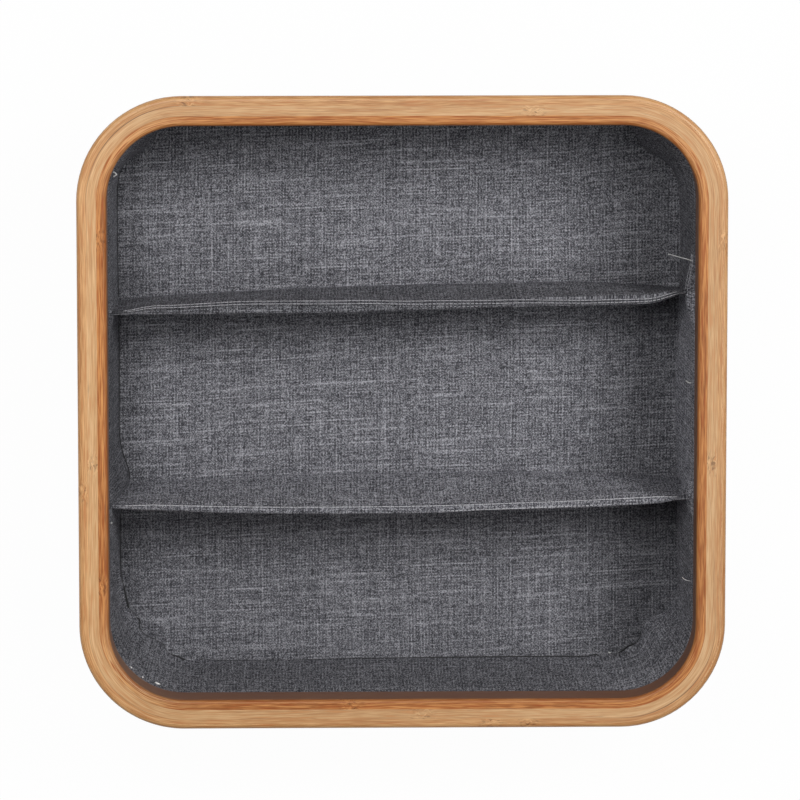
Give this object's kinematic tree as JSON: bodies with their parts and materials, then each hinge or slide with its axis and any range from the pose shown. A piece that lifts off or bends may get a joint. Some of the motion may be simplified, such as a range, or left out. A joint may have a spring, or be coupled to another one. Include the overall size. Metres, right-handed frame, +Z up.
{
  "type": "storage tray",
  "caption": "Soft fabric storage tray hung in a rounded laminated bamboo rim, with sewn dividers that part it into open compartments.",
  "frame": {"origin": "middle of the underside of the bottom panel", "axes": "+X to the right across the tray along the dividers, +Y to the back, +Z up"},
  "size_m": [0.3194, 0.3144, 0.098],
  "materials": {
    "bamboo_outer": "satin lacquered bamboo, tan",
    "bamboo_middle": "satin lacquered bamboo, pale",
    "bamboo_inner": "satin lacquered bamboo, orange brown",
    "lining_fabric": "matte grey linen-look weave",
    "divider_fabric": "matte grey linen-look weave",
    "cover_fabric": "matte grey linen-look weave",
    "board": "plain grey-brown board"
  },
  "bodies": {
    "root": {"rim_outer_strip": "bamboo_outer", "rim_middle_strip": "bamboo_middle", "rim_inner_strip": "bamboo_inner", "cover_front": "cover_fabric", "cover_back": "cover_fabric", "cover_bottom": "cover_fabric", "front_board": "board", "back_board": "board", "left_board": "board", "right_board": "board", "base_board": "board", "lining_front": "lining_fabric", "lining_back": "lining_fabric", "lining_left": "lining_fabric", "lining_right": "lining_fabric", "lining_floor": "lining_fabric", "back_divider_board": "board", "back_divider_sleeve": "divider_fabric", "front_divider_board": "board", "front_divider_sleeve": "divider_fabric"}
  },
  "joints": []
}
